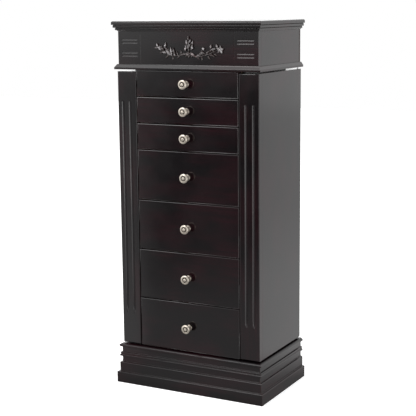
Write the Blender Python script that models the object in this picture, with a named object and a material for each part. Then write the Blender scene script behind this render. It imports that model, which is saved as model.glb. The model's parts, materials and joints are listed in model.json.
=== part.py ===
"""A standing jewellery armoire: seven drawers, two swing-out side doors and a flip-top lid.

The driving dimensions are in millimetres, and every mesh is made in metres. X runs to the
right of someone facing the armoire, Y from its front to its back and Z up from the floor.
Depths named below are measured back from the plane of the door and drawer faces.
"""

import math

import bmesh
import bpy
from mathutils import Vector

MM = 0.001

# Whole object
HEIGHT = 1016.0
HALF_WIDTH = 213.8  # to the outer face of a side door
DEPTH = 268.3  # from the drawer faces to the back
GAP = 0.3  # between pieces that touch
KNOB_OUT = 25.0  # a knob's reach in front of its drawer
BARREL_R = 3.0  # lid hinge barrel
FRONT_Y = -(DEPTH + GAP + 2 * BARREL_R - KNOB_OUT) / 2  # centres the whole depth on Y = 0

# Boards
BOARD = 12.0
BACK_BOARD = 9.0
STILE_THICK = 18.0
STILE_INNER = 156.2  # half the opening between the two fluted stiles
CASE_HALF = 168.0  # outer face of the case sides
CASE_PLAY = 1.5  # from the fluted stiles to the case sides behind them
FRIEZE_IN = 2.7  # the upper box stands in from the door faces by this much

# Heights
DECK_BOTTOM = 102.0
DECK_TOP = 113.5
DOOR_BOTTOM = 117.0
DOOR_TOP = 881.8
WAIST_BOTTOM = 887.0
WAIST_TOP = 899.0
LID_BOTTOM = 990.0

# Outlines of the mouldings: overhang past the door faces, then height
BASE_PROFILE = [
    (15.0, 0.0), (15.0, 28.5), (13.0, 31.0), (8.5, 31.5), (8.5, 55.5), (6.5, 58.0), (3.0, 59.5),
    (3.0, 74.0), (8.6, 76.5), (8.6, 80.0), (6.2, 82.0), (6.2, 86.5), (3.0, 88.5),
    (3.0, DECK_BOTTOM - GAP),
]
DECK_PROFILE = [
    (3.0, DECK_BOTTOM), (9.0, 105.0), (9.2, 107.0), (7.6, 110.0), (2.5, DECK_TOP),
]
WAIST_PROFILE = [(6.3, WAIST_BOTTOM), (6.3, 891.5), (-2.1, WAIST_TOP)]
LID_PROFILE = [
    (-1.5, LID_BOTTOM), (-0.4, 992.0), (1.5, 995.0), (6.2, 996.5), (6.2, 1003.0), (9.4, 1004.0),
    (10.7, 1007.0), (10.2, 1010.5), (8.0, 1013.6), (3.5, HEIGHT),
]
BASE_WALL = 12.0  # the base mouldings' inner face stands this far inside the door faces

# Drawers: three shallow ones above four deep ones
SHALLOW_PITCH = 72.0
DEEP_PITCH = 139.0
SHALLOW_COUNT = 3
DEEP_COUNT = 4
DRAWER_GAP = 2.0
FRONT_HALF = 154.2
BOX_HALF = 152.0
BOX_LENGTH = 225.0
BOX_WALL = 8.0
BOX_FLOOR = 4.0
BOX_LIFT = 6.0  # from a front's lower edge up to its box
BOX_DROP = 8.0  # from a front's upper edge down to its box

# Drawer runners: a ladder of ledges on each case side
LADDER_PLATE = 3.0
LADDER_INNER = 146.0
LEDGE_HEIGHT = 8.0

# Flutes and grooves: half width, depth, and where they run
FLUTE_HALF = 3.7
FLUTE_DEPTH = 2.5
FLUTE_X = (175.4, 197.6)
FLUTE_ENDS = (206.0, 803.0)
GROOVE_HALF = 2.0
GROOVE_DEPTH = 1.7
GROOVE_X = (149.5, 199.0)
GROOVE_Z = (923.5, 932.0, 958.4, 966.8)
BLOCK_INNER = 141.0  # where the grooved end blocks meet the frieze panel
FRIEZE_THICK = 15.0

# Door pivots
PIVOT_X = 206.0
PIVOT_DEPTH = 262.0
PIN_R = 2.0
PIN_HOLE_R = 2.35
PIN_COLLAR_R = 5.0
PIN_REACH = 9.5  # into the deck or the waist board
DOOR_FRAME_INNER = 170.0

# Rounded edges
DRAWER_ROUND = 1.8
STILE_ROUND = 2.0
PANEL_REAR_ROUND = 2.5

# Lined insert of the upper box: rolls on the left, pockets on the right
INSERT_HALF = 198.5
INSERT_PLAY = 0.8  # to the frieze; the play to the back board is 0.5 mm more
ROLLS_RIGHT = -45.0
ROLL_COUNT = 7
ROLL_TOP = 928.0
ROLL_DIP = 917.0
TRAY_LEFT = -43.0
TRAY_TOP = 935.0
TRAY_FLOOR = 3.0
TRAY_WALL = 5.0

# Lid mirror and its frame
MIRROR_HALF = 150.0
MIRROR_NEAR = 36.0
MIRROR_FAR = 236.0
MIRROR_BORDER = 18.0
MIRROR_REBATE = 4.0
MIRROR_THICK = 3.0
MIRROR_FRAME_LOW = 980.0

# Lid hinge
KNUCKLE = 24.0
KNUCKLE_COUNT = 11
KNUCKLE_PLAY = 0.5
LEAF_THICK = 1.2
LEAF_HEIGHT = 20.0
HINGE_PIN_R = 1.4
HINGE_BORE_R = 1.8

# Carved ornament on the frieze
ORNAMENT_X = 9.0
ORNAMENT_Z = 926.0


def clear_scene():
    for old in list(bpy.data.objects):
        bpy.data.objects.remove(old, do_unlink=True)


def material(name, colour, roughness, metallic=0.0):
    made = bpy.data.materials.new(name)
    made.use_nodes = True
    shader = made.node_tree.nodes["Principled BSDF"]
    shader.inputs["Base Color"].default_value = (*colour, 1.0)
    shader.inputs["Roughness"].default_value = roughness
    shader.inputs["Metallic"].default_value = metallic
    made.diffuse_color = (*colour, 1.0)
    return made


def place(x, depth, z):
    """A point of the armoire, in metres."""
    return Vector((x, depth + FRONT_Y, z)) * MM


def axis_empty(name, x, depth, z):
    empty = bpy.data.objects.new(name, None)
    empty.location = place(x, depth, z)
    bpy.context.scene.collection.objects.link(empty)
    return empty


def add_object(name, mesh_parts, look, axis=None, smooth=False):
    """Makes the object, with its mesh measured from its joint's axis where it has one."""
    mesh_parts.normal_update()
    bmesh.ops.recalc_face_normals(mesh_parts, faces=mesh_parts.faces)
    if axis is not None:
        bmesh.ops.translate(mesh_parts, verts=mesh_parts.verts, vec=-axis.location)
    mesh = bpy.data.meshes.new(name)
    mesh_parts.to_mesh(mesh)
    mesh_parts.free()
    made = bpy.data.objects.new(name, mesh)
    made.parent = axis
    bpy.context.scene.collection.objects.link(made)
    if look is not None:
        mesh.materials.append(look)
    if smooth:
        mesh.shade_smooth()
        mesh.set_sharp_from_angle(angle=math.radians(40))
    return made


def box_mesh(x, depth, z):
    """A box from its ranges in X, depth and Z."""
    bm = bmesh.new()
    corners = [bm.verts.new(place(a, b, c)) for c in z for b in depth for a in x]
    for face in ((0, 1, 3, 2), (4, 5, 7, 6), (0, 1, 5, 4), (2, 3, 7, 6), (0, 2, 6, 4), (1, 3, 7, 5)):
        bm.faces.new([corners[i] for i in face])
    bmesh.ops.recalc_face_normals(bm, faces=bm.faces)
    return bm


def ease_edges(bm, width, chosen, segments=2):
    """Rounds the edges whose middle point and direction the test chooses."""
    edges = []
    for edge in bm.edges:
        a, b = (v.co for v in edge.verts)
        if chosen((a + b) / 2, (b - a).normalized()):
            edges.append(edge)
    bmesh.ops.bevel(
        bm, geom=edges, offset=width * MM, segments=segments, profile=0.5, affect="EDGES"
    )


def board(name, x, depth, z, look, axis=None):
    return add_object(name, box_mesh(x, depth, z), look, axis)


def sweep(name, profile, stations, look, axis=None, closed=False):
    """Carries a closed outline of (overhang, height) points through a row of stations."""
    bm = bmesh.new()
    rings = [[bm.verts.new(station(*point)) for point in profile] for station in stations]
    count = len(profile)
    runs = zip(rings, rings[1:] + rings[:1]) if closed else zip(rings, rings[1:])
    for first, second in runs:
        for i in range(count):
            j = (i + 1) % count
            bm.faces.new((first[i], first[j], second[j], second[i]))
    if not closed:
        bm.faces.new(rings[0])
        bm.faces.new(rings[-1])
    return add_object(name, bm, look, axis)


def corner(side, inset_x=0.0, inset_depth=0.0):
    """The mitre at a front corner: side is -1 on the left and 1 on the right."""
    return lambda over, z: place(side * (HALF_WIDTH + over - inset_x), inset_depth - over, z)


def rear_end(side):
    return lambda over, z: place(side * (HALF_WIDTH + over), DEPTH, z)


def moulded_board(name, profile, look, axis=None):
    """A full-width board whose front and side edges follow a moulding; its back is flush."""
    bm = bmesh.new()
    rings = []
    for over, z in profile:
        half = HALF_WIDTH + over
        ring = [(-half, DEPTH), (-half, -over), (half, -over), (half, DEPTH)]
        rings.append([bm.verts.new(place(x, depth, z)) for x, depth in ring])
    for low, high in zip(rings, rings[1:]):
        for i in range(4):
            j = (i + 1) % 4
            bm.faces.new((low[i], low[j], high[j], high[i]))
    bm.faces.new(rings[0])
    bm.faces.new(rings[-1])
    return add_object(name, bm, look, axis)


def turned(outline, spot, segments):
    """A turned solid: outline is (radius, distance) along the axis, closed on it at both ends."""
    bm = bmesh.new()
    rings = []
    for radius, along in outline[1:-1]:
        turns = [2 * math.pi * i / segments for i in range(segments)]
        rings.append([bm.verts.new(spot(radius * math.cos(t), radius * math.sin(t), along)) for t in turns])
    for low, high in zip(rings, rings[1:]):
        for i in range(segments):
            j = (i + 1) % segments
            bm.faces.new((low[i], low[j], high[j], high[i]))
    for ring, end in ((rings[0], outline[0]), (rings[-1], outline[-1])):
        tip = bm.verts.new(spot(0.0, 0.0, end[1]))
        for i in range(segments):
            bm.faces.new((ring[i], ring[(i + 1) % segments], tip))
    bmesh.ops.recalc_face_normals(bm, faces=bm.faces)
    return bm


def rod(spot, radius, start, end, segments=16):
    return turned([(0, start), (radius, start), (radius, end), (0, end)], spot, segments)


def upright(x, depth):
    """Turns about a vertical axis."""
    return lambda a, b, along: place(x + a, depth + b, along)


def along_x(depth, z):
    """Turns about an axis that runs left to right."""
    return lambda a, b, along: place(along, depth + a, z + b)


def combine(target, tools, operation, solver="EXACT"):
    """Joins or cuts the target with each tool, and keeps the result as its mesh."""
    for tool_mesh in tools:
        tool = add_object("tool", tool_mesh, None, target.parent)
        step = target.modifiers.new("step", "BOOLEAN")
        step.operation = operation
        step.solver = solver
        step.object = tool
        bpy.context.view_layer.update()
        graph = bpy.context.evaluated_depsgraph_get()
        result = bpy.data.meshes.new_from_object(target.evaluated_get(graph))
        target.modifiers.clear()
        target.data = result
        bpy.data.objects.remove(tool, do_unlink=True)
    return target


def capsule(spot, radius, start, end, segments=16):
    """A rod with round ends, for the flutes and grooves."""
    steps = 4
    angles = [math.pi / 2 * i / steps for i in range(1, steps + 1)]
    low = [(radius * math.sin(a), start + radius * (1 - math.cos(a))) for a in angles]
    high = [(r, end - (along - start)) for r, along in reversed(low)]
    return turned([(0, start), *low, *high, (0, end)], spot, segments)


def groove_tool(half_width, depth, make_spot, start, end):
    """A capsule that sinks to this depth and is this wide at the surface."""
    radius = (half_width**2 + depth**2) / (2 * depth)
    return capsule(make_spot(radius - depth), radius, start, end)


def base(looks):
    inner = -BASE_WALL
    outline = [*BASE_PROFILE, (inner, DECK_BOTTOM - GAP), (inner, 0.0)]
    mitre = GAP / 2
    sweep("base_front", outline, [corner(-1, mitre), corner(1, mitre)], looks["wood"])
    for side, label in ((-1, "left"), (1, "right")):
        run = [corner(side, inset_depth=mitre), rear_end(side)]
        sweep(f"base_{label}", outline, run, looks["wood"])
    reach = HALF_WIDTH - BASE_WALL - GAP
    rail = (0.0, DECK_BOTTOM - GAP)
    board("base_back", (-reach, reach), (DEPTH - BOARD, DEPTH), rail, looks["wood"])
    deck = moulded_board("base_deck", DECK_PROFILE, looks["wood"])
    hole = (DECK_TOP - PIN_REACH, DOOR_BOTTOM)
    tools = [rod(upright(s * PIVOT_X, PIVOT_DEPTH), PIN_HOLE_R, *hole) for s in (-1, 1)]
    combine(deck, tools, "DIFFERENCE")


def drawer_levels():
    """The height of each gap line between the drawers, from the top one down."""
    levels = [WAIST_BOTTOM]
    for pitch in [SHALLOW_PITCH] * SHALLOW_COUNT + [DEEP_PITCH] * DEEP_COUNT:
        levels.append(levels[-1] - pitch)
    return levels


def case(looks):
    front = STILE_THICK + CASE_PLAY
    rear = DEPTH - BACK_BOARD - GAP
    height = (DECK_TOP + GAP, WAIST_BOTTOM - GAP)
    for side, label in ((-1, "left"), (1, "right")):
        x = sorted((side * (CASE_HALF - BOARD), side * CASE_HALF))
        board(f"case_{label}", x, (front, rear), height, looks["wood"])
    reach = CASE_HALF - GAP
    board("case_back", (-reach, reach), (rear + GAP, DEPTH), height, looks["back"])

    top_half = HALF_WIDTH - FRIEZE_IN - GAP
    top = board(
        "waist_board", (-top_half, top_half), (FRIEZE_IN + GAP, DEPTH),
        (WAIST_BOTTOM, WAIST_TOP), looks["wood"],
    )
    hole = (DOOR_TOP, WAIST_BOTTOM + PIN_REACH + GAP)
    tools = [rod(upright(s * PIVOT_X, PIVOT_DEPTH), PIN_HOLE_R, *hole) for s in (-1, 1)]
    combine(top, tools, "DIFFERENCE")

    plate_outer = CASE_HALF - BOARD - GAP
    plate_inner = plate_outer - LADDER_PLATE
    for side, label in ((-1, "left"), (1, "right")):
        x = sorted((side * plate_inner, side * plate_outer))
        ladder = board(f"runners_{label}", x, (front, rear - GAP), height, looks["runner"])
        ledge_x = sorted((side * LADDER_INNER, side * (plate_inner + 1.0)))
        ledges = []
        for low in drawer_levels()[1:]:
            top_z = low + DRAWER_GAP / 2 + BOX_LIFT - GAP
            bottom_z = max(top_z - LEDGE_HEIGHT, height[0])
            ledges.append(box_mesh(ledge_x, (front, rear - GAP), (bottom_z, top_z)))
        combine(ladder, ledges, "UNION")


def upper_box(looks):
    face = FRIEZE_IN
    back_of_face = face + FRIEZE_THICK
    half = HALF_WIDTH - FRIEZE_IN
    height = (WAIST_TOP + GAP, LID_BOTTOM - GAP)
    rear = DEPTH - BACK_BOARD - GAP
    inner = FRIEZE_IN + GAP
    outline = [*WAIST_PROFILE, (GAP - inner, WAIST_TOP), (GAP - inner, WAIST_BOTTOM)]
    stations = [rear_end(-1), corner(-1), corner(1), rear_end(1)]
    sweep("waist_moulding", outline, stations, looks["wood"])
    joint = GAP / 2
    panel_half = BLOCK_INNER - joint
    board("frieze_panel", (-panel_half, panel_half), (face, back_of_face), height, looks["wood"])
    for side, label in ((-1, "left"), (1, "right")):
        x = sorted((side * (BLOCK_INNER + joint), side * half))
        block = board(f"frieze_block_{label}", x, (face, back_of_face), height, looks["wood"])
        ends = sorted((side * GROOVE_X[0], side * GROOVE_X[1]))
        tools = [
            groove_tool(GROOVE_HALF, GROOVE_DEPTH, lambda out, z=z: along_x(face - out, z), *ends)
            for z in GROOVE_Z
        ]
        combine(block, tools, "DIFFERENCE")
        x = sorted((side * (half - BOARD), side * half))
        board(f"upper_{label}", x, (back_of_face + GAP, rear), height, looks["wood"])
    board("upper_back", (-half, half), (rear + GAP, DEPTH), height, looks["back"])


def leaf(x, z, angle, length, width, rise):
    """A pointed, domed leaf lying on the frieze, its tip at the given angle from +X."""
    face = FRIEZE_IN - GAP
    sides, steps = 8, 6
    bm = bmesh.new()
    rings = []
    for i in range(1, steps):
        share = i / steps
        swell = math.sin(math.pi * share**0.8) ** 0.8
        ring = []
        for k in range(sides + 1):
            turn = math.pi * k / sides
            across = math.cos(turn) * width / 2 * swell
            out = math.sin(turn) * rise * swell
            along = share * length
            px = x + along * math.cos(angle) - across * math.sin(angle)
            pz = z + along * math.sin(angle) + across * math.cos(angle)
            ring.append(bm.verts.new(place(px, face - out, pz)))
        rings.append(ring)
    for low, high in zip(rings, rings[1:]):
        for i in range(sides + 1):
            j = (i + 1) % (sides + 1)
            bm.faces.new((low[i], low[j], high[j], high[i]))
    for ring, along in ((rings[0], 0.0), (rings[-1], length)):
        tip = bm.verts.new(place(x + along * math.cos(angle), face, z + along * math.sin(angle)))
        for i in range(sides + 1):
            bm.faces.new((ring[i], ring[(i + 1) % (sides + 1)], tip))
    bmesh.ops.recalc_face_normals(bm, faces=bm.faces)
    return bm


def ornament(looks):
    """A floral spray: an upright plume, and a leafy swag to each side with a bloom at its end."""
    plume = [(90, 50, 15, 7.5), (68, 42, 13, 6.5), (112, 42, 13, 6.5), (45, 26, 11, 5.5), (135, 26, 11, 5.5)]
    leaves = [leaf(ORNAMENT_X, ORNAMENT_Z - 1.0, math.radians(a), *size) for a, *size in plume]
    leaves.append(leaf(ORNAMENT_X, ORNAMENT_Z + 8.0, math.radians(-90), 20, 12, 5.0))
    swag = [
        (0, 2, -18, 36, 13, 6.5), (28, -6, 12, 40, 14, 6.5), (62, 2, 28, 34, 13, 6.0),
        (36, -4, 75, 22, 9, 5.0), (60, 0, 80, 26, 9, 5.0), (84, 8, 100, 16, 8, 4.5),
        (82, 13, 20, 21, 12, 6.5), (84, 12, -12, 18, 10, 5.5), (60, 2, -35, 20, 9, 4.0),
        (34, -4, -40, 18, 8, 4.0),
    ]
    for side in (-1, 1):
        for x, z, degrees, length, width, rise in swag:
            angle = math.radians(degrees if side > 0 else 180 - degrees)
            leaves.append(leaf(ORNAMENT_X + side * x, ORNAMENT_Z + z, angle, length, width, rise))
    first = add_object("frieze_ornament", leaves[0], looks["carving"])
    combine(first, leaves[1:], "UNION")


def insert_depth():
    """Where the lined insert starts and ends, behind the frieze and before the back board."""
    return FRIEZE_IN + FRIEZE_THICK + INSERT_PLAY, DEPTH - BACK_BOARD - INSERT_PLAY - 0.5


def ring_rolls(looks):
    """A padded block of rolls, each running left to right, that grips rings between them."""
    low = WAIST_TOP + GAP
    start, end = insert_depth()
    steps = 6
    pitch = (end - start) / ROLL_COUNT
    outline = [(start, low)]
    for i in range(ROLL_COUNT):
        for k in range(steps + (i == ROLL_COUNT - 1)):
            turn = math.pi * k / steps
            across = start + pitch * (i + 0.5 - 0.5 * math.cos(turn))
            outline.append((across, ROLL_DIP + (ROLL_TOP - ROLL_DIP) * math.sin(turn)))
    outline.append((end, low))
    ends = [lambda depth, z, x=x: place(x, depth, z) for x in (-INSERT_HALF, ROLLS_RIGHT)]
    sweep("ring_rolls", outline, ends, looks["velvet"])


def compartment_tray(looks):
    """A lined tray with two rows of three pockets."""
    x, depth, low = (TRAY_LEFT, INSERT_HALF), insert_depth(), WAIST_TOP + GAP
    tray = board("compartment_tray", x, depth, (low, TRAY_TOP), looks["velvet"])
    columns, rows = 3, 2
    wide = (x[1] - x[0] - TRAY_WALL * (columns + 1)) / columns
    long = (depth[1] - depth[0] - TRAY_WALL * (rows + 1)) / rows
    pockets = []
    for i in range(columns):
        for j in range(rows):
            left = x[0] + TRAY_WALL + i * (wide + TRAY_WALL)
            near = depth[0] + TRAY_WALL + j * (long + TRAY_WALL)
            pocket_z = (low + TRAY_FLOOR, TRAY_TOP + TRAY_WALL)
            pockets.append(box_mesh((left, left + wide), (near, near + long), pocket_z))
    combine(tray, pockets, "DIFFERENCE")


def hinge_leaf(name, looks, direction, first_knuckle, pin, axis=None):
    """One leaf of the lid's long hinge: direction is -1 for the leaf below its barrel."""
    depth = DEPTH + GAP
    centre = depth + BARREL_R
    half = KNUCKLE * KNUCKLE_COUNT / 2
    ends = sorted((direction * (BARREL_R + 0.5), direction * LEAF_HEIGHT))
    plate = (depth, depth + LEAF_THICK)
    leaf_z = [LID_BOTTOM + end for end in ends]
    body = board(name, (-half, half), plate, leaf_z, looks["brass"], axis)
    shapes = []
    for i in range(first_knuckle, KNUCKLE_COUNT, 2):
        start = -half + i * KNUCKLE + KNUCKLE_PLAY / 2
        end = start + KNUCKLE - KNUCKLE_PLAY
        web = sorted((LID_BOTTOM, LID_BOTTOM + direction * (BARREL_R + 1.0)))
        shapes.append(box_mesh((start, end), plate, web))
        shapes.append(rod(along_x(centre, LID_BOTTOM), BARREL_R, start, end))
    combine(body, shapes, "UNION")
    barrel = along_x(centre, LID_BOTTOM)
    if pin:
        combine(body, [rod(barrel, HINGE_PIN_R, -half + 1.0, half - 1.0)], "UNION")
    else:
        combine(body, [rod(barrel, HINGE_BORE_R, -half - 1.0, half + 1.0)], "DIFFERENCE")


def lid(looks):
    axis = axis_empty("lid_axis", 0.0, DEPTH + GAP + BARREL_R, LID_BOTTOM)
    moulded_board("lid_board", LID_PROFILE, looks["wood"], axis)
    low, lip, top = MIRROR_FRAME_LOW, MIRROR_FRAME_LOW + MIRROR_THICK, LID_BOTTOM - GAP
    rebate = MIRROR_BORDER - MIRROR_REBATE
    outline = [
        (0.0, low), (0.0, top), (rebate, top), (rebate, lip), (MIRROR_BORDER, lip), (MIRROR_BORDER, low),
    ]

    def frame_corner(x_side, far_side):
        depth, inward = (MIRROR_FAR, -1) if far_side else (MIRROR_NEAR, 1)
        return lambda inset, z: place(x_side * (MIRROR_HALF - inset), depth + inward * inset, z)

    corners = [frame_corner(-1, 0), frame_corner(1, 0), frame_corner(1, 1), frame_corner(-1, 1)]
    sweep("mirror_frame", outline, corners, looks["wood"], axis, closed=True)
    inset = rebate + GAP
    glass_x = (-MIRROR_HALF + inset, MIRROR_HALF - inset)
    glass_depth = (MIRROR_NEAR + inset, MIRROR_FAR - inset)
    glass_z = (lip + GAP, lip + GAP + MIRROR_THICK)
    board("lid_mirror", glass_x, glass_depth, glass_z, looks["mirror"], axis)
    hinge_leaf("lid_hinge_fixed", looks, -1, 0, pin=True)
    hinge_leaf("lid_hinge_moving", looks, 1, 1, pin=False, axis=axis)


def pivot_pin(name, side, low, high, collar, looks, axis):
    """A steel pin that the door turns on; the lower one has a collar that carries the door."""
    radius = PIN_COLLAR_R if collar[1] > collar[0] else PIN_R
    outline = [
        (0, low), (PIN_R, low), (PIN_R, collar[0]), (radius, collar[0]), (radius, collar[1]),
        (PIN_R, collar[1]), (PIN_R, high), (0, high),
    ]
    pin = turned(outline, upright(side * PIVOT_X, PIVOT_DEPTH), 16)
    add_object(name, pin, looks["steel"], axis, smooth=True)


def hook_bar(name, side, looks, axis):
    """A metal strip inside the door with a row of upturned necklace hooks."""
    inner = HALF_WIDTH - BOARD - GAP
    strip, height, centre = 2.0, 14.0, 838.0
    x = sorted((side * inner, side * (inner - strip)))
    bar = board(name, x, (52.0, 224.0), (centre - height / 2, centre + height / 2), looks["brass"], axis)
    count, spacing, first, wire = 6, 28.0, 68.0, 1.6
    # Each hook's route: how far it stands out of the door panel, and its height above the bar's middle
    route = [(0.8, 0.3), (9.0, 0.3), (12.5, 1.3), (14.6, 4.2), (15.2, 9.0)]
    hooks = []
    for i in range(count):
        points = [(side * (inner - out), centre + rise) for out, rise in route]
        hooks.append(bent_wire(points, first + i * spacing, wire))
    combine(bar, hooks, "UNION", "MANIFOLD")


def bent_wire(route, depth, radius, sides=8):
    """A round wire bent in a plane of constant depth."""
    bm = bmesh.new()
    rings = []
    for i, (x, z) in enumerate(route):
        before = Vector(route[max(i - 1, 0)])
        after = Vector(route[min(i + 1, len(route) - 1)])
        run = (after - before).normalized()
        ring = []
        for k in range(sides):
            turn = 2 * math.pi * k / sides
            across, back = radius * math.cos(turn), radius * math.sin(turn)
            ring.append(bm.verts.new(place(x - run.y * across, depth + back, z + run.x * across)))
        rings.append(ring)
    for low, high in zip(rings, rings[1:]):
        for i in range(sides):
            j = (i + 1) % sides
            bm.faces.new((low[i], low[j], high[j], high[i]))
    bm.faces.new(rings[0])
    bm.faces.new(rings[-1])
    bmesh.ops.recalc_face_normals(bm, faces=bm.faces)
    return bm


def door(side, label, looks):
    axis = axis_empty(f"door_{label}_axis", side * PIVOT_X, PIVOT_DEPTH, DOOR_BOTTOM)
    height = (DOOR_BOTTOM, DOOR_TOP)
    inner = HALF_WIDTH - BOARD
    outer_x = side * HALF_WIDTH * MM

    def outer_edge(middle, run):
        return abs(middle.x - outer_x) < 1e-5 and abs(run.z) > 0.9

    x = sorted((side * inner, side * HALF_WIDTH))
    panel = box_mesh(x, (STILE_THICK + GAP, DEPTH), height)
    rear_y = place(0, DEPTH, 0).y

    def rear_corner(middle, run):
        return outer_edge(middle, run) and abs(middle.y - rear_y) < 1e-5

    ease_edges(panel, PANEL_REAR_ROUND, rear_corner)
    panel_object = add_object(f"door_{label}_panel", panel, looks["wood"], axis)
    spot = upright(side * PIVOT_X, PIVOT_DEPTH)
    tools = [
        rod(spot, PIN_HOLE_R, DOOR_BOTTOM - 5.0, DOOR_BOTTOM + BOARD),
        rod(spot, PIN_HOLE_R, DOOR_TOP - BOARD, DOOR_TOP + 5.0),
    ]
    combine(panel_object, tools, "DIFFERENCE")

    x = sorted((side * STILE_INNER, side * HALF_WIDTH))
    stile = box_mesh(x, (0.0, STILE_THICK), height)
    face_y = place(0, 0, 0).y

    def front_edge(middle, run):
        return abs(middle.y - face_y) < 1e-5

    ease_edges(stile, STILE_ROUND, front_edge)
    stile_object = add_object(f"door_{label}_stile", stile, looks["wood"], axis)
    tools = [
        groove_tool(FLUTE_HALF, FLUTE_DEPTH, lambda out, x=x: upright(side * x, -out), *FLUTE_ENDS)
        for x in FLUTE_X
    ]
    combine(stile_object, tools, "DIFFERENCE")

    front, rear = STILE_THICK + GAP, DEPTH
    low, high = height
    outline = [
        (front, low), (rear, low), (rear, high), (front, high), (front, high - BOARD),
        (rear - BOARD, high - BOARD), (rear - BOARD, low + BOARD), (front, low + BOARD),
    ]
    ends = [
        lambda depth, z, x=x: place(x, depth, z)
        for x in (side * DOOR_FRAME_INNER, side * (inner - GAP))
    ]
    sweep(f"door_{label}_frame", outline, ends, looks["wood"], axis)

    hook_bar(f"door_{label}_hooks", side, looks, axis)
    reach = PIN_REACH - GAP
    collar = (DECK_TOP + GAP, DOOR_BOTTOM - GAP)
    lower = (DECK_TOP - reach, DOOR_BOTTOM + BOARD - GAP)
    pivot_pin(f"door_{label}_pin_lower", side, *lower, collar, looks, axis)
    middle = (DOOR_TOP + WAIST_BOTTOM) / 2
    upper = (DOOR_TOP - BOARD + GAP, WAIST_BOTTOM + reach)
    pivot_pin(f"door_{label}_pin_upper", side, *upper, (middle, middle), looks, axis)


def open_box(x, depth, z, wall, floor):
    """A drawer box: four walls and a floor, open at the top."""
    bm = box_mesh(x, depth, z)
    low, high = min(v.co.z for v in bm.verts), max(v.co.z for v in bm.verts)
    lid_face = next(f for f in bm.faces if all(abs(v.co.z - high) < 1e-6 for v in f.verts))
    bmesh.ops.inset_region(bm, faces=[lid_face], thickness=wall * MM, use_even_offset=True)
    for vert in lid_face.verts:
        vert.co.z = high
    sunk = bmesh.ops.extrude_face_region(bm, geom=[lid_face])
    bmesh.ops.delete(bm, geom=[lid_face], context="FACES_ONLY")
    for item in sunk["geom"]:
        if isinstance(item, bmesh.types.BMVert):
            item.co.z = low + floor * MM
    return bm


def knob(name, z, looks, axis):
    """A turned knob: a rosette, a waisted stem and a dished head with a raised button."""
    outline = [
        (0, GAP), (8.6, GAP), (9.0, 1.2), (7.0, 2.8), (4.4, 4.0), (3.9, 11.5), (7.0, 14.5),
        (11.8, 16.5), (13.0, 18.6), (12.6, 21.0), (10.4, 22.6), (8.8, 21.4), (6.6, 21.2),
        (5.6, 23.6), (3.2, KNOB_OUT - 0.3), (0, KNOB_OUT),
    ]

    def facing_front(across, up, out):
        return place(across, -out, z + up)

    add_object(name, turned(outline, facing_front, 20), looks["nickel"], axis, smooth=True)


def drawer(number, top, bottom, looks):
    """The front spans the gap lines above and below; the box rides on the ledges behind it."""
    low, high = bottom + DRAWER_GAP / 2, top - DRAWER_GAP / 2
    middle = (low + high) / 2
    axis = axis_empty(f"drawer_{number}_axis", 0.0, 0.0, middle)
    front = box_mesh((-FRONT_HALF, FRONT_HALF), (0.0, STILE_THICK), (low, high))
    face_y = place(0, 0, 0).y
    ease_edges(front, DRAWER_ROUND, lambda at, run: abs(at.y - face_y) < 1e-5)
    add_object(f"drawer_{number}_front", front, looks["wood"], axis)
    depth = (STILE_THICK + GAP, STILE_THICK + GAP + BOX_LENGTH)
    height = (low + BOX_LIFT, high - BOX_DROP)
    box = open_box((-BOX_HALF, BOX_HALF), depth, height, BOX_WALL, BOX_FLOOR)
    add_object(f"drawer_{number}_box", box, looks["drawer_box"], axis)
    knob(f"drawer_{number}_knob", middle, looks, axis)


def main():
    clear_scene()
    looks = {
        "wood": material("espresso lacquer", (0.020, 0.013, 0.012), 0.38),
        "back": material("stained back board", (0.030, 0.018, 0.015), 0.6),
        "runner": material("bare runner wood", (0.36, 0.22, 0.12), 0.6),
        "drawer_box": material("drawer box wood", (0.030, 0.014, 0.012), 0.5),
        "carving": material("carved resin", (0.045, 0.025, 0.02), 0.25),
        "velvet": material("black velvet", (0.012, 0.010, 0.012), 0.95),
        "mirror": material("mirror glass", (0.9, 0.9, 0.9), 0.02, 1.0),
        "nickel": material("antique nickel", (0.42, 0.38, 0.33), 0.3, 1.0),
        "brass": material("hinge brass", (0.62, 0.45, 0.2), 0.35, 1.0),
        "steel": material("pin steel", (0.55, 0.55, 0.56), 0.35, 1.0),
    }
    base(looks)
    case(looks)
    upper_box(looks)
    ornament(looks)
    ring_rolls(looks)
    compartment_tray(looks)
    lid(looks)
    door(-1, "left", looks)
    door(1, "right", looks)
    levels = drawer_levels()
    for number, (top, bottom) in enumerate(zip(levels, levels[1:]), start=1):
        drawer(number, top, bottom, looks)


main()
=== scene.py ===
"""The finished look of the jewellery armoire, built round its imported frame.

Frame positions are in metres. Sizes here are in millimetres, and depths are measured back from
the plane of the door and drawer faces, as in the design.
"""

import json
import math
import random

import bmesh
import bpy
from mathutils import Matrix, Vector

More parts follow.
